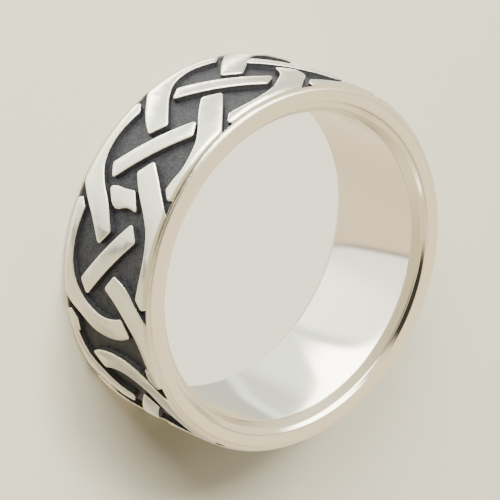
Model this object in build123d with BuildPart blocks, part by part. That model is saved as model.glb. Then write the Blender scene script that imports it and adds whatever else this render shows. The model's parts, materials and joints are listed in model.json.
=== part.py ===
from build123d import *
from collections import namedtuple
from math import cos, radians, sin, tan
import os

# A cast silver band with a plaited knot standing up from a sunk, darkened ground.
# It lies on its side: the finger hole runs along Z and the lower side face is on z = 0.

# Band
bore_diameter = 19.0
band_width = 8.0
crown_wall = 1.95
crown_rise = 0.10
bore_round = 0.90
edge_round = 0.50

# Knot
relief_depth = 0.45
rim_lip = 0.15
knot_line = 0.489
front_turn = -90.0

# How far the knot's cutting shapes run past the surfaces that they cut
overrun = 0.30

bore_radius = bore_diameter / 2
crown_radius = bore_radius + crown_wall
edge_radius = crown_radius - crown_rise
floor_radius = crown_radius - relief_depth

# The plait, a row for each place where it crosses or turns back, once round the band.
# Angles are in degrees about the finger hole. The upper notch is the gap at the upper edge that
# comes after the row's centre, and the lower notch is the gap at the lower edge before it.
Place = namedtuple("Place", "kind upper_notch centre lower_notch")
places = [
    Place("cross", -91.5, -104.5, -121.5),
    Place("cross", -61.5, -73.7, -91.0),
    Place("cross", -29.9, -45.7, -61.3),
    Place("cross", -0.1, -15.7, -30.6),
    Place("cross", 33.6, 20.2, 2.3),
    Place("turn", 60.8, 47.4, 37.4),
    Place("cross", 92.2, 76.7, 64.5),
    Place("cross", 122.2, 106.8, 91.4),
    Place("cross", 153.0, 137.6, 122.2),
    Place("cross", 183.8, 168.4, 153.0),
    Place("cross", 214.6, 199.2, 183.8),
    Place("turn", 240.9, 227.6, 214.3),
]

# Strand tables, a row for each cross-section of a strand: where it is measured from, and the
# places of its left and right edges. Turns are in degrees from that place, and the distances down
# from the upper side face are shares of the band's width.
Section = namedtuple("Section", "anchor left_turn left_down right_turn right_down")
crossing_head = [
    Section("centre", 3.4, 0.375, 8.4, 0.477),
    Section("notch", -7.8, 0.243, -1.7, 0.351),
    Section("notch", -3.2, 0.123, 3.6, 0.220),
]
turning_head = [
    Section("centre", 6.1, 0.765, 11.4, 0.686),
    Section("centre", 4.2, 0.666, 10.1, 0.593),
    Section("centre", 3.0, 0.494, 9.5, 0.470),
    Section("centre", 3.7, 0.340, 10.5, 0.357),
    Section("centre", 6.7, 0.192, 13.2, 0.238),
]
edge_tail = [
    Section("notch", 0.5, 0.034, 7.9, 0.142),
    Section("notch", 6.0, -0.064, 12.3, 0.106),
    Section("notch", 14.0, -0.088, 17.8, 0.095),
    Section("next", -8.0, -0.075, -10.2, 0.107),
    Section("next", -0.7, -0.009, -5.8, 0.125),
]
bar = [
    Section("centre", -13.4, 0.300, -8.4, 0.215),
    Section("centre", 8.4, 0.762, 12.9, 0.689),
]
link = [
    Section("notch", -2.1, 0.405, 4.0, 0.294),
    Section("notch", -1.6, 0.488, 3.4, 0.407),
    Section("notch", -1.4, 0.601, 4.9, 0.530),
    Section("notch", -0.7, 0.675, 3.3, 0.596),
]
linked_place = 3


def edge_points(sections, anchors, upside_down):
    """Both edges of a strand as lists of (turn, height), with the turn in degrees."""
    edges = ([], [])
    for row in sections:
        sides = ((row.left_turn, row.left_down), (row.right_turn, row.right_down))
        for edge, (turn, down) in zip(edges, sides):
            if upside_down:
                turn, down = -turn, 2 * knot_line - down
            edge.append((anchors[row.anchor] + turn, band_width * (1 - down)))
    return edges


def edge_line(points):
    """A strand's edge as one straight line, or one smooth curve through its points."""
    return Line(*points) if len(points) == 2 else Spline(*points)


def strand_block(sections, anchors, upside_down=False):
    """A strand's outline, spread outwards from the band's axis through the whole relief."""
    left, right = edge_points(sections, anchors, upside_down)
    turns = [turn for turn, height in left + right]
    middle = (min(turns) + max(turns)) / 2
    facing = radians(middle + front_turn)
    outwards = (cos(facing), sin(facing), 0)
    along = (-sin(facing), cos(facing), 0)
    under_floor = floor_radius * cos(radians(max(turns) - middle)) - overrun
    over_crown = crown_radius + overrun
    with BuildPart() as block:
        for reach in (under_floor, over_crown):
            left_edge = [(reach * tan(radians(turn - middle)), height) for turn, height in left]
            right_edge = [(reach * tan(radians(turn - middle)), height) for turn, height in right]
            with BuildSketch(Plane((0, 0, 0), x_dir=along, z_dir=outwards).offset(reach)):
                with BuildLine():
                    edge_line(left_edge)
                    Line(left_edge[-1], right_edge[-1])
                    edge_line(right_edge[::-1])
                    Line(right_edge[0], left_edge[0])
                make_face()
        loft(ruled=True)
    return block.part


def knot_strands():
    """Every strand of the knot, in the order of the places round the band."""
    strands = []
    count = len(places)
    for index, place in enumerate(places):
        after = places[(index + 1) % count].upper_notch + (360 if index == count - 1 else 0)
        before = places[index - 1].lower_notch - (360 if index == 0 else 0)
        head = crossing_head if place.kind == "cross" else turning_head
        upper = {"centre": place.centre, "notch": place.upper_notch, "next": after}
        lower = {"centre": place.centre, "notch": place.lower_notch, "next": before}
        strands.append(strand_block(head + edge_tail, upper))
        strands.append(strand_block(head + edge_tail, lower, upside_down=True))
        if place.kind == "cross":
            strands.append(strand_block(bar, upper))
        if index == linked_place:
            strands.append(strand_block(link, upper))
    return strands


# What is cut away between the strands
with BuildPart() as ground:
    with BuildSketch(Plane.XY.offset(rim_lip)):
        Circle(crown_radius + overrun)
        Circle(floor_radius, mode=Mode.SUBTRACT)
    extrude(amount=band_width - 2 * rim_lip)
    add(knot_strands(), mode=Mode.SUBTRACT)

# The band, turned from its section and then sunk between the strands
with BuildPart() as band:
    with BuildSketch(Plane.XZ):
        with BuildLine():
            Line((bore_radius, band_width - bore_round), (bore_radius, bore_round))
            CenterArc((bore_radius + bore_round, bore_round), bore_round, 180, 90)
            Line((bore_radius + bore_round, 0), (edge_radius - edge_round, 0))
            CenterArc((edge_radius - edge_round, edge_round), edge_round, 270, 90)
            ThreePointArc((edge_radius, edge_round), (crown_radius, band_width / 2),
                          (edge_radius, band_width - edge_round))
            CenterArc((edge_radius - edge_round, band_width - edge_round), edge_round, 0, 90)
            Line((edge_radius - edge_round, band_width), (bore_radius + bore_round, band_width))
            CenterArc((bore_radius + bore_round, band_width - bore_round), bore_round, 90, 90)
        make_face()
    revolve(axis=Axis.Z)
    add(ground.part, mode=Mode.SUBTRACT)
band.part.label = "knot_band"

os.makedirs("parts", exist_ok=True)
export_step(band.part, "parts/knot_band.step")
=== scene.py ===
import json
import logging
from dataclasses import dataclass, field
from enum import Enum
from math import asin, ceil, cos, pi, radians, sin, sqrt, tan, tau
from typing import Any, NamedTuple

import bmesh
import bpy
from mathutils import Matrix, Vector
from mathutils.geometry import interpolate_bezier


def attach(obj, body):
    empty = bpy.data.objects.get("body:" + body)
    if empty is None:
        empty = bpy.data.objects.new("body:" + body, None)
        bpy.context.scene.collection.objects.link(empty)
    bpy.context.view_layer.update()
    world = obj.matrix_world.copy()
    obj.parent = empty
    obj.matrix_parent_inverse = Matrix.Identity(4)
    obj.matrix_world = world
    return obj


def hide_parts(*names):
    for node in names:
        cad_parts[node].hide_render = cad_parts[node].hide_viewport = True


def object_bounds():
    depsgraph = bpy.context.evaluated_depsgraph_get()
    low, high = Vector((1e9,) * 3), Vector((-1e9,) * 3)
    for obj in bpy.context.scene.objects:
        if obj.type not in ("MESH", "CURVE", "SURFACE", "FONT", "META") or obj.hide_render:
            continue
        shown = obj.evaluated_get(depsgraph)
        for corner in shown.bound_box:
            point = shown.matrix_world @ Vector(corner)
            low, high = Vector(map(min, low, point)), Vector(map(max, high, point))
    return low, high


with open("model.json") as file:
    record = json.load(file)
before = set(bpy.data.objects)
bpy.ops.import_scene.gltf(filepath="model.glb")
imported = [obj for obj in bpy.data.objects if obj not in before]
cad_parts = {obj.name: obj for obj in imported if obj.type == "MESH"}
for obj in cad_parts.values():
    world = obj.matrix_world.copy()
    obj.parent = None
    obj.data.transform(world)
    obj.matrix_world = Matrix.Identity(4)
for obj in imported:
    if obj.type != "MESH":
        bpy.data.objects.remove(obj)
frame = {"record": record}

CAD_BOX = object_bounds()
MM = 0.001
NODE = "knot_band"
BODY = "root"
FULL_TURN = 360
CORNER_STEPS = 4

log = logging.getLogger("ring")


class Kind(Enum):
    """What the plait does at one place round the band."""

    CROSS = "cross"
    TURN = "turn"


class Anchor(Enum):
    """The place that a section's turn is counted from."""

    CENTRE = "centre"
    NOTCH = "notch"
    NEXT = "next"


class Place(NamedTuple):
    """One place of the plait. Turns are in degrees from the front of the band."""

    kind: Kind
    upper_notch: float
    centre: float
    lower_notch: float


class Section(NamedTuple):
    """One cross-section of a strand: turns in degrees, distances down as shares of the width."""

    anchor: Anchor
    left_turn: float
    left_down: float
    right_turn: float
    right_down: float


# The plait, once round the band
PLACES = [
    Place(Kind.CROSS, -91.5, -104.5, -121.5),
    Place(Kind.CROSS, -61.5, -73.7, -91.0),
    Place(Kind.CROSS, -29.9, -45.7, -61.3),
    Place(Kind.CROSS, -0.1, -15.7, -30.6),
    Place(Kind.CROSS, 33.6, 20.2, 2.3),
    Place(Kind.TURN, 60.8, 47.4, 37.4),
    Place(Kind.CROSS, 92.2, 76.7, 64.5),
    Place(Kind.CROSS, 122.2, 106.8, 91.4),
    Place(Kind.CROSS, 153.0, 137.6, 122.2),
    Place(Kind.CROSS, 183.8, 168.4, 153.0),
    Place(Kind.CROSS, 214.6, 199.2, 183.8),
    Place(Kind.TURN, 240.9, 227.6, 214.3),
]
LINKED_PLACE = 3

# The strands' sections, in order along each strand
CROSSING_HEAD = [
    Section(Anchor.CENTRE, 3.4, 0.375, 8.4, 0.477),
    Section(Anchor.NOTCH, -7.8, 0.243, -1.7, 0.351),
    Section(Anchor.NOTCH, -3.2, 0.123, 3.6, 0.220),
]
TURNING_HEAD = [
    Section(Anchor.CENTRE, 6.1, 0.765, 11.4, 0.686),
    Section(Anchor.CENTRE, 4.2, 0.666, 10.1, 0.593),
    Section(Anchor.CENTRE, 3.0, 0.494, 9.5, 0.470),
    Section(Anchor.CENTRE, 3.7, 0.340, 10.5, 0.357),
    Section(Anchor.CENTRE, 6.7, 0.192, 13.2, 0.238),
]
EDGE_TAIL = [
    Section(Anchor.NOTCH, 0.5, 0.034, 7.9, 0.142),
    Section(Anchor.NOTCH, 6.0, -0.064, 12.3, 0.106),
    Section(Anchor.NOTCH, 14.0, -0.088, 17.8, 0.095),
    Section(Anchor.NEXT, -8.0, -0.075, -10.2, 0.107),
    Section(Anchor.NEXT, -4.2, -0.014, -5.8, 0.125),
]
TAIL_TIP = (-3.0, 0.060)
BAR = [
    Section(Anchor.CENTRE, -13.4, 0.300, -8.4, 0.215),
    Section(Anchor.CENTRE, 8.4, 0.762, 12.9, 0.689),
]
LINK = [
    Section(Anchor.NOTCH, -2.1, 0.405, 4.0, 0.294),
    Section(Anchor.NOTCH, -1.6, 0.488, 3.4, 0.407),
    Section(Anchor.NOTCH, -1.4, 0.601, 4.9, 0.530),
    Section(Anchor.NOTCH, -0.7, 0.675, 3.3, 0.596),
]


def new_object(name: str, mesh: bmesh.types.BMesh) -> bpy.types.Object:
    """Turns a bmesh into an object of the scene, with its place in its mesh.

    Args:
        name: the object's name.
        mesh: the bmesh, which is freed.

    Returns:
        The new object, at the origin.
    """
    data = bpy.data.meshes.new(name)
    mesh.to_mesh(data)
    mesh.free()
    made = bpy.data.objects.new(name, data)
    bpy.context.scene.collection.objects.link(made)
    return made


def round_corner(outline: bmesh.types.BMesh, corner: bmesh.types.BMVert, reach: float) -> None:
    """Rounds one corner of an outline.

    Args:
        outline: the outline's bmesh.
        corner: the corner.
        reach: how far along its two sides the rounding goes.
    """
    bmesh.ops.bevel(
        outline, geom=[corner], offset=reach, segments=CORNER_STEPS, profile=0.5,
        affect="VERTICES", clamp_overlap=True, material=-1,
    )


def smooth_rail(points: list[Vector], spacing: float) -> list[Vector]:
    """Draws one smooth line through a strand's edge points.

    Args:
        points: the edge points in order, two or more.
        spacing: about how far apart the line's own points lie.

    Returns:
        The line's points. Two points give a straight line with no points between.
    """
    if len(points) == 2:
        return list(points)
    spans = [(after - before).length for before, after in zip(points, points[1:])]
    slopes = [(after - before) / span for before, after, span in zip(points, points[1:], spans)]
    inner = [
        (slopes[i] * spans[i + 1] + slopes[i + 1] * spans[i]) / (spans[i] + spans[i + 1])
        for i in range(len(spans) - 1)
    ]
    # The two end tangents leave the line without curvature at its ends
    tangents = [1.5 * slopes[0] - 0.5 * inner[0], *inner, 1.5 * slopes[-1] - 0.5 * inner[-1]]
    line = [points[0]]
    for i, span in enumerate(spans):
        handle_out = points[i] + tangents[i] * span / 3
        handle_in = points[i + 1] - tangents[i + 1] * span / 3
        steps = max(1, round(span / spacing))
        line += interpolate_bezier(points[i], handle_out, handle_in, points[i + 1], steps + 1)[1:]
    return line


@dataclass(frozen=True)
class BandSizes:
    """The band's own sizes, in metres, and the outer surface that they give."""

    bore_radius: float = frame["record"]["mounts"][0]["dims"]["r_mm"] * MM
    width: float = CAD_BOX[1][2] - CAD_BOX[0][2]
    crown_wall: float = 1.95 * MM
    crown_rise: float = 0.10 * MM
    edge_round: float = 0.50 * MM
    relief_depth: float = 0.45 * MM
    rim_lip: float = 0.15 * MM
    knot_line: float = 0.489
    front_turn: float = radians(-90)

    @property
    def crown_radius(self) -> float:
        """The band's largest radius, at its middle."""
        return self.bore_radius + self.crown_wall

    @property
    def edge_radius(self) -> float:
        """The outer radius where the edge rounding starts."""
        return self.crown_radius - self.crown_rise

    @property
    def corner_radius(self) -> float:
        """The radius of the edge rounding's own centre line."""
        return self.edge_radius - self.edge_round

    @property
    def floor_radius(self) -> float:
        """The radius of the sunk ground."""
        return self.crown_radius - self.relief_depth

    def surface(self, height: float) -> float:
        """Works out the outer surface's radius.

        Args:
            height: the height over the lower side face.

        Returns:
            The radius there, over the crown or round an edge.
        """
        from_middle = abs(height - self.width / 2)
        flat_half = self.width / 2 - self.edge_round
        if from_middle <= flat_half:
            return self.crown_radius - self.crown_rise * (from_middle / flat_half) ** 2
        past = min(from_middle - flat_half, self.edge_round)
        return self.corner_radius + sqrt(self.edge_round**2 - past**2)


Socket = bpy.types.NodeSocket
Colour = tuple[float, float, float]
Span = tuple[float, float]
NOISE_MIDDLE = 0.5

# The Mix node repeats its sockets' names for each kind of value, so they go by number
MIX_SHARE = 0
MIX_NUMBERS = (2, 3)
MIX_COLOURS = (6, 7)
MIXED_NUMBER = 0
MIXED_COLOUR = 2


class Grain(NamedTuple):
    """A soft random pattern: how fine it is per mm, how many layers it has and how rough they are."""

    scale: float
    detail: float
    roughness: float


@dataclass
class Workbench:
    """A node tree that is filled one node at a time.

    Its plain colours are divided by its full brightness, which the shader's strength gives back.
    """

    tree: bpy.types.NodeTree
    full: float = 1.0

    def add(
        self, kind: str, inputs: dict[str | int, Any] | None = None, **settings: Any
    ) -> bpy.types.Node:
        """Adds a node.

        Args:
            kind: the node's type.
            inputs: what goes into its sockets, by name or number: another socket, or a value.
            settings: the node's own options.

        Returns:
            The node.
        """
        node = self.tree.nodes.new(kind)
        for option, value in settings.items():
            setattr(node, option, value)
        for key, value in (inputs or {}).items():
            if isinstance(value, Socket):
                self.tree.links.new(value, node.inputs[key])
            else:
                node.inputs[key].default_value = value
        return node

    def math(self, operation: str, *values: Any) -> Socket:
        """Works out one number from up to three, given as sockets or numbers."""
        return self.add("ShaderNodeMath", dict(enumerate(values)), operation=operation).outputs[0]

    def times(self, first: Any, second: Any) -> Socket:
        """Multiplies two numbers."""
        return self.math("MULTIPLY", first, second)

    def rest(self, share: Socket) -> Socket:
        """Gives what a share leaves of 1."""
        return self.math("SUBTRACT", 1.0, share)

    def vector(self, operation: str, *values: Any) -> bpy.types.Node:
        """Adds a Vector Math node with the given inputs."""
        return self.add("ShaderNodeVectorMath", dict(enumerate(values)), operation=operation)

    def ease(self, value: Socket, low: float, high: float) -> Socket:
        """Rises smoothly from 0 where the value is low to 1 where it is high."""
        inputs = {"Value": value, "From Min": low, "From Max": high}
        return self.add("ShaderNodeMapRange", inputs, interpolation_type="SMOOTHSTEP").outputs["Result"]

    def between(self, value: Socket, rising: Span, falling: Span) -> Socket:
        """Rises smoothly to 1 over one span of a value and falls back to 0 over another."""
        return self.times(self.ease(value, *rising), self.rest(self.ease(value, *falling)))

    def scaled(self, value: Socket, low: float, high: float, start: float, end: float) -> Socket:
        """Maps one range of a value straight on to another, and keeps within it."""
        inputs = {"Value": value, "From Min": low, "From Max": high, "To Min": start, "To Max": end}
        return self.add("ShaderNodeMapRange", inputs, clamp=True).outputs["Result"]

    def noise(self, place: Socket, grain: Grain) -> Socket:
        """Gives soft random values, which depend on the place alone.

        Args:
            place: the place's socket, in mm.
            grain: the pattern.

        Returns:
            The value's socket, mostly near the middle between 0 and 1.
        """
        scale, detail, roughness = grain
        inputs = {"Vector": place, "Scale": scale, "Detail": detail, "Roughness": roughness}
        return self.add("ShaderNodeTexNoise", inputs).outputs["Fac"]

    def blend(self, share: Any, first: Any, second: Any) -> Socket:
        """Mixes two colours.

        Args:
            share: how much of the second colour.
            first: a colour or its socket.
            second: a colour or its socket.

        Returns:
            The mixed colour's socket.
        """
        colours = [self.dimmed(c) if isinstance(c, tuple) else c for c in (first, second)]
        inputs = {MIX_SHARE: share, **dict(zip(MIX_COLOURS, colours))}
        return self.add("ShaderNodeMix", inputs, data_type="RGBA").outputs[MIXED_COLOUR]

    def dimmed(self, colour: Colour) -> tuple[float, ...]:
        """Divides a plain colour by the full brightness, for a node's colour with its alpha."""
        return (*(part / self.full for part in colour), 1.0)

    def lerp(self, share: Any, first: Any, second: Any) -> Socket:
        """Mixes two numbers, with the share of the second one first."""
        inputs = {MIX_SHARE: share, **dict(zip(MIX_NUMBERS, (first, second)))}
        return self.add("ShaderNodeMix", inputs, data_type="FLOAT").outputs[MIXED_NUMBER]

    def ramp(self, value: Socket, stops: dict[float, Colour]) -> Socket:
        """Reads a colour off a ramp.

        Args:
            value: where on the ramp, counted as the stops' places are.
            stops: the colours by their places.

        Returns:
            The colour's socket.
        """
        first, last = min(stops), max(stops)
        node = self.add("ShaderNodeValToRGB", {"Fac": self.scaled(value, first, last, 0.0, 1.0)})
        elements = node.color_ramp.elements
        while len(elements) > 1:
            elements.remove(elements[-1])
        for index, (place, colour) in enumerate(sorted(stops.items())):
            share = (place - first) / (last - first)
            element = elements[0] if index == 0 else elements.new(share)
            element.position = share
            element.color = self.dimmed(colour)
        return node.outputs["Color"]

    def curve(self, value: Socket, points: list[Span]) -> Socket:
        """Reads a number off a smooth curve.

        Args:
            value: where on the curve, from 0 to 1.
            points: the curve's points in order, all within 0 and 1.

        Returns:
            The number's socket.
        """
        node = self.add("ShaderNodeFloatCurve", {"Value": value})
        line = node.mapping.curves[0]
        for end, place in zip(line.points, (points[0], points[-1])):
            end.location = place
        for place in points[1:-1]:
            line.points.new(*place)
        node.mapping.update()
        return node.outputs[0]


class Spot(NamedTuple):
    """A point of the band, as sockets of its material, with lengths in mm.

    The radius is its distance from the finger hole's axis, and over_middle its height over the
    band's mid plane. The ragged depth is how far it lies under the outer surface, give or take the
    grain. Sunk is 1 on the ground and the walls, and on_face is 1 on the side faces.
    """

    place: Socket
    radius: Socket
    over_middle: Socket
    ragged_depth: Socket
    grain: Socket
    sunk: Socket
    on_face: Socket


@dataclass(frozen=True)
class OxidisedSilver:
    """Cast silver: polished strands and bore, satin side faces, and a blackened, grainy ground.

    Each span of radii, depths or distances from the mid plane, in mm, is a smooth change of finish.
    """

    name: str = "oxidised_silver"
    silver: Colour = (0.955, 0.940, 0.900)
    face_silver: Colour = (0.93, 0.91, 0.86)
    charcoal: Colour = (0.028, 0.030, 0.040)
    ash: Colour = (0.074, 0.078, 0.104)
    # Darkest on the walls' upper part: part oxide, part painted shade for the dark lines along the
    # strands' edges.
    wall_oxide_and_shade: Colour = (0.038, 0.038, 0.044)
    strand_roughness: Span = (0.15, 0.25)
    face_roughness: float = 0.26
    bore_roughness: float = 0.07
    bevel_roughness: float = 0.30
    ground_roughness: float = 0.58
    ground_metallic: float = 0.55
    knot_radii: Span = (10.70, 10.75)
    bore_radii: Span = (10.15, 10.30)
    bevel_radii: tuple[Span, Span] = ((9.52, 9.58), (9.82, 9.90))
    rim_distances: Span = (3.835, 3.875)
    face_distances: Span = (3.93, 3.985)
    wall_depths: Span = (0.035, 0.085)
    floor_depths: Span = (0.16, 0.32)
    raggedness: float = 0.08
    grain: Grain = Grain(9.0, 4.0, 0.6)
    fine_grain: Grain = Grain(26.0, 3.0, 0.6)
    patches: Grain = Grain(2.2, 2.0, 0.5)
    clouds: Grain = Grain(1.6, 3.0, 0.6)
    swell: Grain = Grain(1.6, 2.0, 0.35)
    cloud_range: Span = (0.3, 0.7)
    mottle_shares: tuple[float, float] = (0.8, 0.25)
    mottle_range: Span = (0.36, 0.70)
    grit_share: float = 0.5
    wavy_radii: Span = (10.5, 11.2)
    waviness: float = 0.45
    wave_grit: float = 0.015
    bump_strength: float = 0.7
    bump_height: float = 0.06 * MM

    def build(self, sizes: BandSizes) -> bpy.types.Material:
        """Makes the material.

        Args:
            sizes: the band's sizes, which tell the ground, faces and bore apart.

        Returns:
            The material.
        """
        material = bpy.data.materials.new(self.name)
        material.use_nodes = True
        bench = Workbench(material.node_tree)
        spot = self.spot(bench, sizes)
        inputs = {
            "Base Color": self.colour(bench, spot),
            "Roughness": self.roughness(bench, spot),
            "Metallic": bench.lerp(spot.sunk, 1.0, self.ground_metallic),
            "Normal": self.bump(bench, spot),
        }
        shader = material.node_tree.nodes["Principled BSDF"]
        for socket, source in inputs.items():
            bench.tree.links.new(source, shader.inputs[socket])
        return material

    def spot(self, bench: Workbench, sizes: BandSizes) -> Spot:
        """Finds where on the band a point lies.

        Args:
            bench: the material's workbench.
            sizes: the band's sizes.

        Returns:
            The point.
        """
        coordinates = bench.add("ShaderNodeTexCoord").outputs["Object"]
        place = bench.vector("MULTIPLY", coordinates, (1 / MM,) * 3).outputs[0]
        level = bench.vector("MULTIPLY", place, (1, 1, 0)).outputs[0]
        radius = bench.vector("LENGTH", level).outputs["Value"]
        height = bench.add("ShaderNodeSeparateXYZ", {0: place}).outputs["Z"]
        over_middle = bench.math("SUBTRACT", height, sizes.width / 2 / MM)
        from_middle = bench.math("ABSOLUTE", over_middle)
        grain = bench.noise(place, self.grain)
        depth = bench.math("SUBTRACT", self.surface(bench, sizes, from_middle), radius)
        least = bench.math("SUBTRACT", depth, self.raggedness / 2)
        ragged_depth = bench.math("MULTIPLY_ADD", grain, self.raggedness, least)
        off_rims = bench.rest(bench.ease(from_middle, *self.rim_distances))
        in_knot = bench.times(off_rims, bench.ease(radius, *self.knot_radii))
        sunk = bench.times(bench.ease(ragged_depth, *self.wall_depths), in_knot)
        on_face = bench.ease(from_middle, *self.face_distances)
        return Spot(place, radius, over_middle, ragged_depth, grain, sunk, on_face)

    @staticmethod
    def surface(bench: Workbench, sizes: BandSizes, from_middle: Socket) -> Socket:
        """Works out the radius of the band's outer surface, over the crown or round an edge.

        Args:
            bench: the material's workbench.
            sizes: the band's sizes.
            from_middle: the distance from the band's mid plane, in mm.

        Returns:
            The radius's socket, in mm.
        """
        flat_half = (sizes.width / 2 - sizes.edge_round) / MM
        share = bench.math("DIVIDE", bench.math("MINIMUM", from_middle, flat_half), flat_half)
        fall = bench.times(bench.times(share, share), sizes.crown_rise / MM)
        past = bench.math("MAXIMUM", bench.math("SUBTRACT", from_middle, flat_half), 0.0)
        left = bench.math("SUBTRACT", (sizes.edge_round / MM) ** 2, bench.times(past, past))
        rounded = bench.math("SQRT", bench.math("MAXIMUM", left, 0.0))
        top = (sizes.corner_radius + sizes.crown_rise) / MM
        return bench.math("ADD", bench.math("SUBTRACT", top, fall), rounded)

    def colour(self, bench: Workbench, spot: Spot) -> Socket:
        """Colours the bright metal, the walls' dark upper band, part oxide and part painted shade, and
        the mottled ground.

        Args:
            bench: the material's workbench.
            spot: the point.

        Returns:
            The colour's socket.
        """
        grain_share, patch_share = self.mottle_shares
        patches = bench.times(bench.noise(spot.place, self.patches), patch_share)
        mottle = bench.math("MULTIPLY_ADD", spot.grain, grain_share, patches)
        ground = bench.blend(bench.ease(mottle, *self.mottle_range), self.charcoal, self.ash)
        # The walls' upper part gets the darkest colour, part oxide and part painted shade; the ground
        # deeper down keeps its mottle.
        oxide_and_wall_shade = bench.blend(bench.ease(spot.ragged_depth, *self.floor_depths), self.wall_oxide_and_shade, ground)
        metal = bench.blend(spot.on_face, self.silver, self.face_silver)
        return bench.blend(spot.sunk, metal, oxide_and_wall_shade)

    def roughness(self, bench: Workbench, spot: Spot) -> Socket:
        """Gives each surface its finish. The bore's upper bevel is duller than the bore.

        Args:
            bench: the material's workbench.
            spot: the point.

        Returns:
            The roughness's socket.
        """
        clouds = bench.noise(spot.place, self.clouds)
        roughness = bench.scaled(clouds, *self.cloud_range, *self.strand_roughness)
        in_bore = bench.rest(bench.ease(spot.radius, *self.bore_radii))
        upper = bench.math("GREATER_THAN", spot.over_middle, 0.0)
        bevel = bench.times(bench.between(spot.radius, *self.bevel_radii), upper)
        for share, finish in (
            (spot.on_face, self.face_roughness), (in_bore, self.bore_roughness),
            (bevel, self.bevel_roughness), (spot.sunk, self.ground_roughness),
        ):
            roughness = bench.lerp(share, roughness, finish)
        return roughness

    def bump(self, bench: Workbench, spot: Spot) -> Socket:
        """Gives the ground its grit and the strands their slight waves.

        Args:
            bench: the material's workbench.
            spot: the point.

        Returns:
            The normal's socket.
        """
        fine = bench.noise(spot.place, self.fine_grain)
        grit = bench.times(bench.math("MULTIPLY_ADD", fine, self.grit_share, spot.grain), spot.sunk)
        waves = bench.math("MULTIPLY_ADD", fine, self.wave_grit, bench.noise(spot.place, self.swell))
        wavy = bench.scaled(spot.radius, *self.wavy_radii, 0.0, self.waviness)
        dents = bench.times(bench.math("SUBTRACT", waves, NOISE_MIDDLE), wavy)
        relief = bench.math("ADD", grit, dents)
        inputs = {"Height": relief, "Strength": self.bump_strength, "Distance": self.bump_height}
        return bench.add("ShaderNodeBump", inputs).outputs[0]


@dataclass
class BandBody:
    """The plain body under the knot: bore, side faces, rims and sunk ground."""

    sizes: BandSizes
    name: str = "band_body"
    turn_steps: int = 360
    round_steps: int = 10
    lip_bevel: float = 0.03 * MM
    bevel_foot: float = 0.60 * MM
    bevel_run: tuple[float, float] = (0.35 * MM, 0.46 * MM)
    facet_run: tuple[float, float] = (0.41 * MM, 0.14 * MM)
    bevel_rounds: tuple[float, float, float] = (0.05 * MM, 0.09 * MM, 0.12 * MM)
    long_line: float = 0.15 * MM
    guard: float = 0.01 * MM
    merge: float = 0.001 * MM

    def half_section(self) -> bmesh.types.BMesh:
        """Draws the section above the mid plane, from the bore's middle to the ground's middle.

        Every long line gets a point close to each end, which keeps the shading flat between them.

        Returns:
            The section as a line in the XZ plane.
        """
        sizes = self.sizes
        section = bmesh.new()
        turning = Vector((0, 1, 0))
        start = section.verts.new((sizes.bore_radius, 0, sizes.width / 2))
        bore_end = self.step(section, start, Vector((0, 0, sizes.width / 2 - self.bevel_foot)))
        bevel_end = self.step(section, bore_end, Vector((self.bevel_run[0], 0, self.bevel_run[1])))
        face_start = self.step(section, bevel_end, Vector((self.facet_run[0], 0, self.facet_run[1])))
        face_end = self.step(section, face_start, Vector((sizes.corner_radius - face_start.co.x, 0, 0)))
        corner_centre = Vector((sizes.corner_radius, 0, sizes.width - sizes.edge_round))
        lip_angle = pi / 2 - asin((sizes.edge_round - sizes.rim_lip) / sizes.edge_round)
        lip_edge = self.arc(section, face_end, corner_centre, turning, lip_angle)
        lip_foot = self.step(section, lip_edge, Vector((sizes.floor_radius - lip_edge.co.x, 0, 0)))
        self.step(section, lip_foot, Vector((0, 0, sizes.rim_lip - sizes.width / 2)))
        corners = (bore_end, bevel_end, face_start, lip_edge)
        for corner, offset in zip(corners, (*self.bevel_rounds, self.lip_bevel)):
            round_corner(section, corner, offset)
        for line in [edge for edge in section.edges if edge.calc_length() > self.long_line]:
            share = self.guard / line.calc_length()
            end = line.verts[1]
            middle = bmesh.utils.edge_split(line, line.verts[0], share)[1]
            rest = next(edge for edge in middle.link_edges if end in edge.verts)
            bmesh.utils.edge_split(rest, end, share)
        return section

    @staticmethod
    def step(section: bmesh.types.BMesh, start: bmesh.types.BMVert, move: Vector) -> bmesh.types.BMVert:
        """Adds a straight line to the section.

        Args:
            section: the section so far.
            start: where the line starts.
            move: how far it goes.

        Returns:
            The line's end.
        """
        end = bmesh.ops.extrude_vert_indiv(section, verts=[start])["verts"][0]
        end.co += move
        return end

    def arc(
        self, section: bmesh.types.BMesh, start: bmesh.types.BMVert,
        centre: Vector, axis: Vector, angle: float,
    ) -> bmesh.types.BMVert:
        """Adds an arc to the section.

        Args:
            section: the section so far.
            start: where the arc starts.
            centre: the arc's centre.
            axis: the line that it turns about.
            angle: how far it turns.

        Returns:
            The arc's end.
        """
        turned = bmesh.ops.spin(
            section, geom=[start], cent=centre, axis=axis, dvec=(0, 0, 0), angle=angle,
            steps=self.round_steps, use_merge=False,
        )
        return next(g for g in turned["geom_last"] if isinstance(g, bmesh.types.BMVert))

    def build(self) -> bpy.types.Object:
        """Mirrors the half section and turns it once round.

        Returns:
            The closed body.
        """
        body = self.half_section()
        middle = Vector((0, 0, self.sizes.width / 2))
        bmesh.ops.mirror(
            body, geom=body.verts[:] + body.edges[:],
            matrix=Matrix.Translation(-middle), merge_dist=self.merge, axis="Z",
        )
        bmesh.ops.remove_doubles(body, verts=body.verts, dist=self.merge)
        bmesh.ops.spin(
            body, geom=body.verts[:] + body.edges[:], cent=(0, 0, 0), axis=(0, 0, 1),
            dvec=(0, 0, 0), angle=tau, steps=self.turn_steps, use_merge=True,
        )
        bmesh.ops.remove_doubles(body, verts=body.verts, dist=self.merge)
        bmesh.ops.recalc_face_normals(body, faces=body.faces)
        return new_object(self.name, body)


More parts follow.
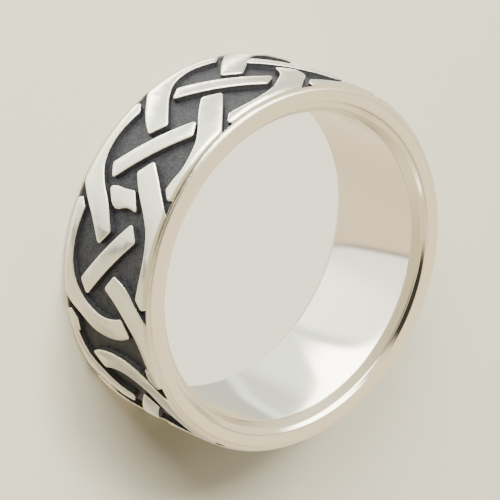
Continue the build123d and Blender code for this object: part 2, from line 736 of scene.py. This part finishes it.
@dataclass
class Strand:
    """One strand of the knot, made flat and then wrapped on the band."""

    sizes: BandSizes
    sections: list[Section]
    anchors: dict[Anchor, float]
    upside_down: bool = False
    tail_tip: tuple[float, float] | None = None
    corner_round: float = 0.20 * MM
    rail_spacing: float = 0.30 * MM
    shortest_edge: float = 0.008 * MM
    on_plane: float = 0.0008 * MM
    edge_round: float = 0.06 * MM
    round_steps: int = 3
    crown_steps: tuple[tuple[float, float], ...] = ((0.06 * MM, 0.014 * MM),)
    buried: float = 0.50 * MM
    turn_step: float = radians(1)
    rim_angles: tuple[float, ...] = (0, 15, 30, 45, 60, 75, 90)
    sink_start: float = radians(48)
    sink_depth: float = 0.02 * MM
    past_edge_slope: float = 0.1

    def flat_point(self, turn: float, down: float, anchor: Anchor) -> Vector:
        """Places an edge point in the flat: X along the band, Y up its width.

        Args:
            turn: degrees from the anchor.
            down: the share of the width down from the upper side face.
            anchor: the place that the turn is counted from.

        Returns:
            The point, in metres.
        """
        if self.upside_down:
            turn, down = -turn, 2 * self.sizes.knot_line - down
        around = radians(self.anchors[anchor] + turn) * self.sizes.crown_radius
        return Vector((around, self.sizes.width * (1 - down), 0))

    def outline(self) -> bmesh.types.BMesh:
        """Draws the strand's outline, with its corners rounded.

        Returns:
            The outline's bmesh, one flat face.
        """
        left = [self.flat_point(row.left_turn, row.left_down, row.anchor) for row in self.sections]
        right = [self.flat_point(row.right_turn, row.right_down, row.anchor) for row in self.sections]
        left_rail = smooth_rail(left, self.rail_spacing)
        right_rail = smooth_rail(right, self.rail_spacing)
        flat = bmesh.new()
        left_verts = [flat.verts.new(point) for point in left_rail]
        right_verts = [flat.verts.new(point) for point in right_rail]
        tips = []
        if self.tail_tip:
            tips.append(flat.verts.new(self.flat_point(*self.tail_tip, self.sections[-1].anchor)))
        flat.faces.new(left_verts + tips + right_verts[::-1])
        for corner in (left_verts[0], right_verts[0], left_verts[-1], *tips, right_verts[-1]):
            half_angle = corner.link_loops[0].calc_angle() / 2
            round_corner(flat, corner, self.corner_round / tan(half_angle))
        return flat

    @property
    def thickness(self) -> float:
        """The strand's whole height, from under the ground to its top."""
        return self.sizes.relief_depth + self.buried

    def edge_profile(self) -> list[tuple[float, float]]:
        """Lists the steps from the wall's top inwards.

        Returns:
            How far in, and how far up, each step goes.
        """
        steps = []
        for step in range(self.round_steps):
            low = pi / 2 * step / self.round_steps
            high = pi / 2 * (step + 1) / self.round_steps
            inset = self.edge_round * (cos(low) - cos(high))
            rise = self.edge_round * (sin(high) - sin(low))
            steps.append((inset, rise))
        return steps + list(self.crown_steps)

    def raise_block(self, flat: bmesh.types.BMesh) -> None:
        """Raises the outline to a block with rounded upper edges and a slightly crowned top.

        Args:
            flat: the outline's bmesh, which becomes the block.
        """
        bmesh.ops.remove_doubles(flat, verts=flat.verts, dist=self.shortest_edge)
        steps = self.edge_profile()
        wall = self.thickness - sum(rise for inset, rise in steps)
        raised = bmesh.ops.extrude_face_region(flat, geom=flat.faces[:], use_keep_orig=True)
        tops = [g for g in raised["geom"] if isinstance(g, bmesh.types.BMVert)]
        bmesh.ops.translate(flat, verts=tops, vec=(0, 0, wall))
        bmesh.ops.recalc_face_normals(flat, faces=flat.faces)
        for inset, rise in steps:
            bmesh.ops.inset_region(
                flat, faces=[self.top_face(flat)], thickness=inset, depth=rise, use_even_offset=False
            )
            bmesh.ops.remove_doubles(flat, verts=self.top_face(flat).verts, dist=self.shortest_edge)

    @staticmethod
    def top_face(block: bmesh.types.BMesh) -> bmesh.types.BMFace:
        """Finds the block's highest face."""
        return max(block.faces, key=lambda face: face.calc_center_median().z)

    def cut_rows(self, block: bmesh.types.BMesh) -> None:
        """Cuts the block into rows that can follow the band and the rounding of its edges.

        Args:
            block: the raised block, still flat.
        """
        sizes = self.sizes
        roundings = [sizes.edge_round * (1 - sin(radians(angle))) for angle in self.rim_angles]
        for inwards in roundings:
            self.cut(block, Vector((0, inwards, 0)), Vector((0, 1, 0)))
            self.cut(block, Vector((0, sizes.width - inwards, 0)), Vector((0, 1, 0)))
        pitch = self.turn_step * sizes.crown_radius
        lowest = min(v.co.x for v in block.verts)
        highest = max(v.co.x for v in block.verts)
        for step in range(ceil(lowest / pitch), ceil(highest / pitch)):
            self.cut(block, Vector((step * pitch, 0, 0)), Vector((1, 0, 0)))

    def cut(self, block: bmesh.types.BMesh, place: Vector, facing: Vector) -> None:
        """Cuts the block along a plane, and leaves both sides joined.

        Args:
            block: the block.
            place: a point of the plane.
            facing: the plane's normal.
        """
        bmesh.ops.bisect_plane(
            block, geom=block.verts[:] + block.edges[:] + block.faces[:],
            dist=self.on_plane, plane_co=place, plane_no=facing,
        )

    def wrapped(self, place: Vector) -> Vector:
        """Moves a point of the flat block to its place on the band.

        Args:
            place: the point along, up and out of the flat band.

        Returns:
            The point round the finger hole.
        """
        sizes = self.sizes
        turn = place.x / sizes.crown_radius + sizes.front_turn
        from_middle = abs(place.y - sizes.width / 2)
        past_round = max(0, (from_middle - sizes.width / 2 + sizes.edge_round) / sizes.edge_round)
        past_edge = max(0, from_middle - sizes.width / 2)
        rim_angle = asin(min(past_round, 1))
        sunk = max(0, (rim_angle - self.sink_start) / (pi / 2 - self.sink_start))
        sink = self.sink_depth * sunk * sunk
        surface = sizes.surface(place.y) - sink * cos(rim_angle) - past_edge * self.past_edge_slope
        kept = from_middle - past_edge - sink * sin(rim_angle)
        height = sizes.width / 2 + (kept if place.y > sizes.width / 2 else -kept)
        radius = max(surface - (self.thickness - place.z), sizes.floor_radius - self.buried)
        return Vector((radius * cos(turn), radius * sin(turn), height))

    def build(self) -> bmesh.types.BMesh:
        """Makes the whole strand.

        Returns:
            The strand's closed bmesh, wrapped on the band.
        """
        block = self.outline()
        self.raise_block(block)
        self.cut_rows(block)
        for vert in block.verts:
            vert.co = self.wrapped(vert.co)
        bmesh.ops.recalc_face_normals(block, faces=block.faces)
        return block


@dataclass
class Knot:
    """All strands of the plait."""

    sizes: BandSizes
    name: str = "knot_strands"

    def strands(self) -> list[Strand]:
        """Lists every strand, in the order of the places round the band.

        Returns:
            The strands, not yet built.
        """
        made = []
        for index, place in enumerate(PLACES):
            last = index == len(PLACES) - 1
            after = PLACES[(index + 1) % len(PLACES)].upper_notch + (FULL_TURN if last else 0)
            before = PLACES[index - 1].lower_notch - (0 if index else FULL_TURN)
            head = CROSSING_HEAD if place.kind is Kind.CROSS else TURNING_HEAD
            upper = {Anchor.CENTRE: place.centre, Anchor.NOTCH: place.upper_notch, Anchor.NEXT: after}
            lower = {Anchor.CENTRE: place.centre, Anchor.NOTCH: place.lower_notch, Anchor.NEXT: before}
            made.append(Strand(self.sizes, head + EDGE_TAIL, upper, tail_tip=TAIL_TIP))
            made.append(Strand(self.sizes, head + EDGE_TAIL, lower, upside_down=True, tail_tip=TAIL_TIP))
            if place.kind is Kind.CROSS:
                made.append(Strand(self.sizes, BAR, upper))
            if index == LINKED_PLACE:
                made.append(Strand(self.sizes, LINK, upper))
        return made

    def build(self) -> bpy.types.Object:
        """Builds every strand into one object.

        Returns:
            The object with all strands.
        """
        together = bmesh.new()
        passing = bpy.data.meshes.new("passing")
        for strand in self.strands():
            block = strand.build()
            block.to_mesh(passing)
            block.free()
            together.from_mesh(passing)
        bpy.data.meshes.remove(passing)
        return new_object(self.name, together)


@dataclass
class Ring:
    """The whole ring: the band's body and the knot, fused into one piece of metal."""

    sizes: BandSizes = field(default_factory=BandSizes)
    finish: OxidisedSilver = field(default_factory=OxidisedSilver)
    name: str = "silver_knot_ring"
    crease: float = radians(34)
    smallest: float = 0.00005 * MM

    def fuse(self, body: bpy.types.Object, knot: bpy.types.Object) -> bpy.types.Object:
        """Joins the knot to the body as one closed solid, and clears the slivers that this leaves.

        Args:
            body: the band's body.
            knot: the strands.

        Returns:
            The fused piece.
        """
        union = body.modifiers.new("fuse", "BOOLEAN")
        union.operation = "UNION"
        union.solver = "MANIFOLD"
        union.object = knot
        evaluated = body.evaluated_get(bpy.context.evaluated_depsgraph_get())
        mesh = bpy.data.meshes.new_from_object(evaluated)
        mesh.name = self.name
        cleaned = bmesh.new()
        cleaned.from_mesh(mesh)
        bmesh.ops.dissolve_degenerate(cleaned, dist=self.smallest, edges=cleaned.edges)
        cleaned.to_mesh(mesh)
        cleaned.free()
        fused = bpy.data.objects.new(self.name, mesh)
        bpy.context.scene.collection.objects.link(fused)
        for source in (body, knot):
            old = source.data
            bpy.data.objects.remove(source)
            bpy.data.meshes.remove(old)
        return fused

    def build(self) -> bpy.types.Object:
        """Builds the ring and puts it in the frame in place of the plain one.

        Returns:
            The finished piece.
        """
        ring = self.fuse(BandBody(self.sizes).build(), Knot(self.sizes).build())
        ring.data.shade_smooth()
        ring.data.set_sharp_from_angle(angle=self.crease)
        ring.data.materials.clear()
        ring.data.materials.append(self.finish.build(self.sizes))
        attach(ring, BODY)
        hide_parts(NODE)
        return ring


@dataclass(frozen=True)
class PhotoCamera:
    """The camera, at the photo's angle to the ring: in metres and radians, its film and lens in mm."""

    aim: Vector = field(default_factory=lambda: Vector((0.033, -0.419, 4.0)) * MM)
    distance: float = 208.456 * MM
    elevation: float = radians(46.2625)
    roll: float = radians(113.710)
    sensor: float = 36.0
    lens: float = 252.0
    clip: tuple[float, float] = (0.01, 10.0)

    @property
    def backwards(self) -> Vector:
        """The direction from the ring to the camera."""
        return Vector((0, -cos(self.elevation), sin(self.elevation)))

    @property
    def eye(self) -> Vector:
        """The camera's place."""
        return self.aim + self.backwards * self.distance

    def build(self) -> None:
        """Places the camera and makes it the scene's own."""
        level_up = Vector((0, sin(self.elevation), cos(self.elevation)))
        right = cos(self.roll) * Vector((1, 0, 0)) + sin(self.roll) * level_up
        up = self.backwards.cross(right)
        data = bpy.data.cameras.new("camera")
        data.sensor_width = self.sensor
        data.lens = self.lens
        data.clip_start, data.clip_end = self.clip
        camera = bpy.data.objects.new("camera", data)
        turned = Matrix((right, up, self.backwards)).transposed().to_4x4()
        camera.matrix_world = Matrix.Translation(self.eye) @ turned
        bpy.context.scene.collection.objects.link(camera)
        bpy.context.scene.camera = camera


def glow(name: str, light: Colour) -> bpy.types.Material:
    """Makes a plain evenly shining material.

    Args:
        name: the material's name.
        light: its brightness in each colour.

    Returns:
        The material.
    """
    material = bpy.data.materials.new(name)
    material.use_nodes = True
    tree = material.node_tree
    tree.nodes.remove(tree.nodes["Principled BSDF"])
    shine = tree.nodes.new("ShaderNodeEmission")
    shine.inputs["Color"].default_value = (*light, 1)
    tree.links.new(shine.outputs[0], tree.nodes["Material Output"].inputs["Surface"])
    return material


@dataclass
class Floor:
    """The plain pale paper under the ring, and a glowing disc in the finger hole, painted light as bright
    as the lit paper, which hides the ring's shadow there.
    """

    half_size: float = 0.8
    paper: Colour = (0.70, 0.68, 0.60)
    paper_roughness: float = 0.9
    paper_sheen: float = 0.1
    patch_radius: float = 10.15 * MM
    patch_steps: int = 96
    patch_height: float = 0.01 * MM
    patch_light: Colour = (1.95, 1.78, 1.34)

    def build(self) -> None:
        """Lays the paper, and the glowing disc whose painted light shows no shadow of the ring in the
        hole.
        """
        plane = bmesh.new()
        bmesh.ops.create_grid(plane, x_segments=1, y_segments=1, size=self.half_size)
        paper = bpy.data.materials.new("floor_paper")
        paper.use_nodes = True
        shader = paper.node_tree.nodes["Principled BSDF"]
        shader.inputs["Base Color"].default_value = (*self.paper, 1)
        shader.inputs["Roughness"].default_value = self.paper_roughness
        shader.inputs["Specular IOR Level"].default_value = self.paper_sheen
        floor = new_object("floor", plane)
        # A glowing disc in the finger hole: painted light as bright as the lit paper, in place of the
        # ring's shadow there.
        disc = bmesh.new()
        bmesh.ops.create_circle(disc, cap_ends=True, segments=self.patch_steps, radius=self.patch_radius)
        bmesh.ops.translate(disc, verts=disc.verts, vec=(0, 0, self.patch_height))
        patch = new_object("glowing_disc_in_hole", disc)
        for piece, material in ((floor, paper), (patch, glow("glowing_disc_in_hole", self.patch_light))):
            piece.data.materials.append(material)
            piece.visible_glossy = False


# Lines charted in the bore from its lower end up, as (height in mm, turn in degrees)
ChartLine = list[tuple[float, float]]
STREAK_LINE: ChartLine = [(0, 38), (2, 34), (3.3, 30.5), (5, 28.3), (7, 27), (8, 26)]
WEDGE_LINE: ChartLine = [
    (0, 68.5), (1, 66.3), (2, 64.2), (3, 62), (4, 59.3), (5, 56), (6, 51.5), (7, 42.5), (8, 28),
]
BLOCK_LINE: ChartLine = [
    (0, 67), (1, 67), (2, 67.3), (3, 68), (4, 69), (5, 70.2), (6, 72), (7, 76.5), (8, 86),
]
DARK_LINE: ChartLine = [
    (0, 102.5), (1, 104.8), (2, 106.3), (3, 107.4), (4, 108.4), (6, 110.2), (8, 111.8),
]

# Lights charted in the bore on the left, in the middle and on the tan right, by turn in degrees
LEFT_LIGHTS: dict[float, Colour] = {
    -30: (0.95, 0.85, 0.58), 4: (0.97, 0.89, 0.64), 12: (1.10, 1.05, 0.80),
    25: (0.98, 0.97, 0.80), 70: (0.98, 0.97, 0.80),
}
MIDDLE_LIGHTS: dict[float, Colour] = {
    20: (1.35, 1.38, 1.10), 40: (1.35, 1.40, 1.12), 48: (2.10, 2.20, 1.75), 70: (2.10, 2.05, 1.80),
}
TAN_LIGHTS: dict[float, Colour] = {
    100: (1.45, 1.15, 0.70), 125: (1.40, 1.13, 0.70), 142: (1.38, 1.10, 0.67),
    155: (1.47, 1.19, 0.74), 165: (1.57, 1.31, 0.83), 180: (1.57, 1.33, 0.85),
}


@dataclass
class BoreChart:
    """The bore's turns and heights in a material, to draw charted lines with."""

    bench: Workbench
    turn: Socket
    height: Socket
    top: float = 8.0
    first_turn: float = -30.0
    all_turns: float = 240.0

    def past(self, line: ChartLine, soft: float) -> Socket:
        """Rises from 0 before a charted line to 1 past it.

        Args:
            line: the charted line.
            soft: how soft its edge is, in degrees.

        Returns:
            The rise's socket.
        """
        bench = self.bench
        points = [(height / self.top, (turn - self.first_turn) / self.all_turns) for height, turn in line]
        share = bench.curve(bench.math("DIVIDE", self.height, self.top), points)
        there = bench.math("MULTIPLY_ADD", share, self.all_turns, self.first_turn)
        return bench.ease(bench.math("SUBTRACT", self.turn, there), -soft, soft)

    def along(self, line: ChartLine, width: float, soft: float, shift: float = 0.0) -> Socket:
        """Gives 1 on a band that runs along a charted line, and 0 off it.

        Args:
            line: the charted line.
            width: the band's width in degrees.
            soft: how soft its edges are, in degrees.
            shift: how far past the line the band's middle runs, in degrees.

        Returns:
            The band's socket.
        """
        before, after = (
            self.past([(height, turn + shift + side * width / 2) for height, turn in line], soft)
            for side in (-1, 1)
        )
        return self.bench.times(before, self.bench.rest(after))


@dataclass
class BoreCard:
    """A glowing card under the floor with the bore's reflections painted on it, which only the polished
    bore shows.

    It is bent from a grid of the bore's own turns and heights, each put where a look at that spot
    from the camera is thrown. Its pattern is charted in those turns, in degrees, and heights, in mm.
    Looks that have been thrown on more than once meet one even light.
    """

    sizes: BandSizes
    eye: Vector
    name: str = "bore_card"
    drop: float = 30.0 * MM
    drop_by_turn: float = 0.004 * MM
    turns: Span = (6.0, 180.0)
    heights: Span = (-0.6, 8.6)
    columns: int = 94
    rows: int = 12
    full: float = 10.0
    white_heights: Span = (2.0, 5.2)
    white: tuple[Colour, Colour] = ((2.6, 2.65, 2.1), (10.6, 10.0, 8.4))
    pale: tuple[Colour, Colour] = ((3.3, 3.2, 2.6), (2.7, 2.55, 2.0))
    pale_turns: Span = (90, 104)
    pale_end: Colour = (2.15, 2.1, 1.7)
    streak: Colour = (1.9, 2.0, 1.62)
    wedge: Colour = (1.7, 1.75, 1.45)
    seam: Colour = (1.8, 1.85, 1.55)
    dark: Colour = (0.45, 0.42, 0.34)
    first_bounce: float = 1.5
    thrown_on: Colour = (1.4, 1.2, 0.75)

    def landing(self, turn: float, height: float) -> Vector:
        """Finds where a look at the bore ends on the card.

        Args:
            turn: the spot's place round the bore, in degrees from +X.
            height: its height in mm.

        Returns:
            The point on the card.
        """
        inwards = -Vector((cos(radians(turn)), sin(radians(turn)), 0))
        spot = -inwards * self.sizes.bore_radius + Vector((0, 0, height * MM))
        look = (spot - self.eye).normalized().reflect(inwards)
        drop = self.drop + turn * self.drop_by_turn
        return spot + look * ((spot.z + drop) / -look.z)

    def build(self) -> None:
        """Bends the card and gives it its pattern of light."""
        card = bmesh.new()
        bmesh.ops.create_grid(card, x_segments=self.columns, y_segments=self.rows, size=1)
        turn_layer = card.verts.layers.float.new("turn")
        height_layer = card.verts.layers.float.new("height")
        for vert in card.verts:
            turn = self.turns[0] + (self.turns[1] - self.turns[0]) * (vert.co.x + 1) / 2
            height = self.heights[0] + (self.heights[1] - self.heights[0]) * (vert.co.y + 1) / 2
            vert[turn_layer] = turn
            vert[height_layer] = height
            vert.co = self.landing(turn, height)
        made = new_object(self.name, card)
        made.data.materials.append(self.pattern())
        for ray in ("camera", "diffuse", "shadow", "transmission", "volume_scatter"):
            setattr(made, "visible_" + ray, False)

    def pattern(self) -> bpy.types.Material:
        """Charts the bore's reflections, from the streaks on its left to the dim tan on its right.

        Returns:
            The card's material.
        """
        material = glow(self.name, (1, 1, 1))
        bench = Workbench(material.node_tree, self.full)
        turn, height = (
            bench.add("ShaderNodeAttribute", attribute_name=layer).outputs["Fac"]
            for layer in ("turn", "height")
        )
        chart = BoreChart(bench, turn, height)
        white = bench.blend(bench.ease(height, *self.white_heights), *self.white)
        pale = bench.blend(bench.math("DIVIDE", height, chart.top), *self.pale)
        pale = bench.blend(bench.ease(turn, *self.pale_turns), pale, self.pale_end)
        bounces = bench.add("ShaderNodeLightPath").outputs["Ray Depth"]
        colour = bench.ramp(turn, LEFT_LIGHTS)
        for share, light in (
            (chart.past(STREAK_LINE, soft=2.0), bench.ramp(turn, MIDDLE_LIGHTS)),
            (chart.along(STREAK_LINE, width=5.0, soft=1.6), self.streak),
            (chart.along(WEDGE_LINE, width=4.0, soft=1.5), self.wedge),
            (chart.past(WEDGE_LINE, soft=1.2), white),
            (chart.past(BLOCK_LINE, soft=1.0), pale),
            (chart.along(BLOCK_LINE, width=4.5, soft=2.0, shift=1.8), self.seam),
            (chart.past(DARK_LINE, soft=0.5), bench.ramp(turn, TAN_LIGHTS)),
            (chart.along(DARK_LINE, width=1.6, soft=0.7), self.dark),
            (bench.math("GREATER_THAN", bounces, self.first_bounce), self.thrown_on),
        ):
            colour = bench.blend(share, colour, light)
        shine = next(n for n in material.node_tree.nodes if n.type == "EMISSION")
        bench.tree.links.new(colour, shine.inputs["Color"])
        shine.inputs["Strength"].default_value = self.full
        return material


class Patch(NamedTuple):
    """A bright or dark patch of the room: turns and rises in degrees, with a soft edge."""

    turns: Span
    rises: Span
    soft: float
    light: Colour


class Key(NamedTuple):
    """A square light: where it hangs, in radians, the length of its side in metres, and its power."""

    turn: float
    elevation: float
    side: float
    power: float


@dataclass
class Studio:
    """The floor, the key lights that cast the shadow, and the room that the silver reflects.

    The room's lights below and above the horizon are listed by turn in degrees. Looks straight
    down, looks that the silver has thrown on more than twice, the light on matt surfaces and the
    camera's own view each have one even light instead.
    """

    sizes: BandSizes
    eye: Vector
    keys: tuple[Key, ...] = (
        Key(radians(210), radians(48), 0.13, 2.75),
        Key(radians(240), radians(31), 0.16, 2.95),
    )
    key_distance: float = 0.40
    key_light: Colour = (1.0, 0.965, 0.80)
    full: float = 12.0
    horizon: Span = (-0.25, 0.0)
    straight_down: Span = (-0.90, -0.82)
    second_bounce: float = 2.5
    fill: Colour = (0.20, 0.165, 0.115)
    backdrop: Colour = (1.9, 1.75, 1.25)
    afar: Colour = (1.4, 1.2, 0.75)
    under: dict[float, Colour] = field(default_factory=lambda: {
        0: (1.05, 0.91, 0.57), 14: (0.52, 0.45, 0.31), 30: (0.60, 0.52, 0.37), 45: (0.8, 0.7, 0.5),
        75: (0.9, 0.85, 0.65), 100: (1.4, 1.35, 1.0), 140: (1.35, 1.3, 1.0), 165: (1.35, 1.3, 1.05),
        182: (1.9, 1.85, 1.5), 200: (1.7, 1.75, 1.4), 220: (2.4, 2.5, 1.95), 240: (2.65, 2.7, 2.1),
        262: (2.4, 2.5, 1.9), 280: (2.0, 2.0, 1.6), 288: (1.5, 1.5, 1.2), 297: (1.65, 1.6, 1.3),
        301: (0.34, 0.31, 0.24), 304.5: (0.34, 0.31, 0.24), 309: (1.2, 1.07, 0.72),
        325: (1.25, 1.12, 0.74), 345: (1.2, 1.05, 0.65), 360: (1.15, 1.0, 0.62),
    })
    over: dict[float, Colour] = field(default_factory=lambda: {
        0: (1.5, 1.25, 0.75), 30: (1.05, 0.86, 0.50), 60: (1.45, 1.2, 0.7), 90: (1.65, 1.36, 0.83),
        120: (1.5, 1.27, 0.82), 150: (1.5, 1.28, 0.85), 180: (1.3, 1.12, 0.75), 240: (1.1, 0.92, 0.56),
        330: (0.95, 0.8, 0.45), 360: (1.5, 1.25, 0.75),
    })
    patches: tuple[Patch, ...] = (
        Patch((186, 238), (-33, 6), 8, (11.0, 10.6, 8.6)),
        Patch((126, 218), (52, 69), 4, (9.5, 9.2, 7.2)),
        Patch((224, 298), (40, 68), 5, (0.10, 0.09, 0.07)),
        Patch((60, 76), (36, 62), 3, (0.7, 0.6, 0.4)),
        Patch((104, 117), (26, 62), 3, (0.9, 0.78, 0.52)),
        Patch((38, 46), (50, 60), 2, (4.0, 3.8, 2.8)),
        Patch((26, 37), (60, 70), 2, (0.6, 0.5, 0.32)),
        Patch((20, 110), (72, 82), 3, (0.05, 0.045, 0.035)),
        Patch((-20, 380), (79, 95), 2, (0.05, 0.045, 0.035)),
    )

    def build_key(self, number: int, key: Key) -> None:
        """Hangs a key light. The silver doesn't show it, because the room has its own patches.

        Args:
            number: its number, for its name.
            key: where it hangs and how strong it is.
        """
        data = bpy.data.lights.new(f"key_light_{number}", "AREA")
        data.shape = "SQUARE"
        data.size = key.side
        data.energy = key.power
        data.color = self.key_light
        box = bpy.data.objects.new(f"key_light_{number}", data)
        level = cos(key.elevation)
        towards = Vector((cos(key.turn) * level, sin(key.turn) * level, sin(key.elevation)))
        turned = towards.to_track_quat("Z", "Y").to_matrix().to_4x4()
        box.matrix_world = Matrix.Translation(towards * self.key_distance) @ turned
        box.visible_camera = False
        box.visible_glossy = False
        bpy.context.scene.collection.objects.link(box)

    def build_room(self) -> None:
        """Colours the room by direction: what the silver shows from below and above, and the patches."""
        world = bpy.data.worlds.new("room")
        world.use_nodes = True
        bench = Workbench(world.node_tree, self.full)
        direction = bench.add("ShaderNodeTexCoord").outputs["Generated"]
        parts = bench.add("ShaderNodeSeparateXYZ", {0: direction}).outputs
        share = bench.math("DIVIDE", bench.math("ARCTAN2", parts["Y"], parts["X"]), tau)
        turn = bench.times(bench.math("FRACT", bench.math("ADD", share, 1.0)), FULL_TURN)
        rise = bench.times(bench.math("ARCSINE", parts["Z"]), FULL_TURN / tau)
        above_horizon = bench.ease(parts["Z"], *self.horizon)
        colour = bench.blend(above_horizon, bench.ramp(turn, self.under), bench.ramp(turn, self.over))
        for patch in self.patches:
            in_turns, in_rises = (
                bench.between(value, *((end - patch.soft, end + patch.soft) for end in ends))
                for value, ends in ((turn, patch.turns), (rise, patch.rises))
            )
            colour = bench.blend(bench.times(in_turns, in_rises), colour, patch.light)
        rays = bench.add("ShaderNodeLightPath").outputs
        for share, light in (
            (bench.rest(bench.ease(parts["Z"], *self.straight_down)), self.backdrop),
            (bench.math("GREATER_THAN", rays["Ray Depth"], self.second_bounce), self.afar),
            (rays["Is Diffuse Ray"], self.fill),
            (rays["Is Camera Ray"], self.backdrop),
        ):
            colour = bench.blend(share, colour, light)
        background = world.node_tree.nodes["Background"]
        bench.tree.links.new(colour, background.inputs["Color"])
        background.inputs["Strength"].default_value = self.full
        bpy.context.scene.world = world

    def build(self) -> None:
        """Builds the floor, the lights and the room."""
        Floor().build()
        BoreCard(self.sizes, self.eye).build()
        for number, key in enumerate(self.keys, start=1):
            self.build_key(number, key)
        self.build_room()


def main() -> None:
    """Builds the ring, the room and the camera, and logs the ring's number of faces."""
    logging.basicConfig(level=logging.INFO, format="%(name)s: %(message)s")
    ring = Ring().build()
    log.info("%s has %d faces", ring.name, len(ring.data.polygons))
    camera = PhotoCamera()
    Studio(BandSizes(), camera.eye).build()
    camera.build()


if __name__ == "__main__":
    main()
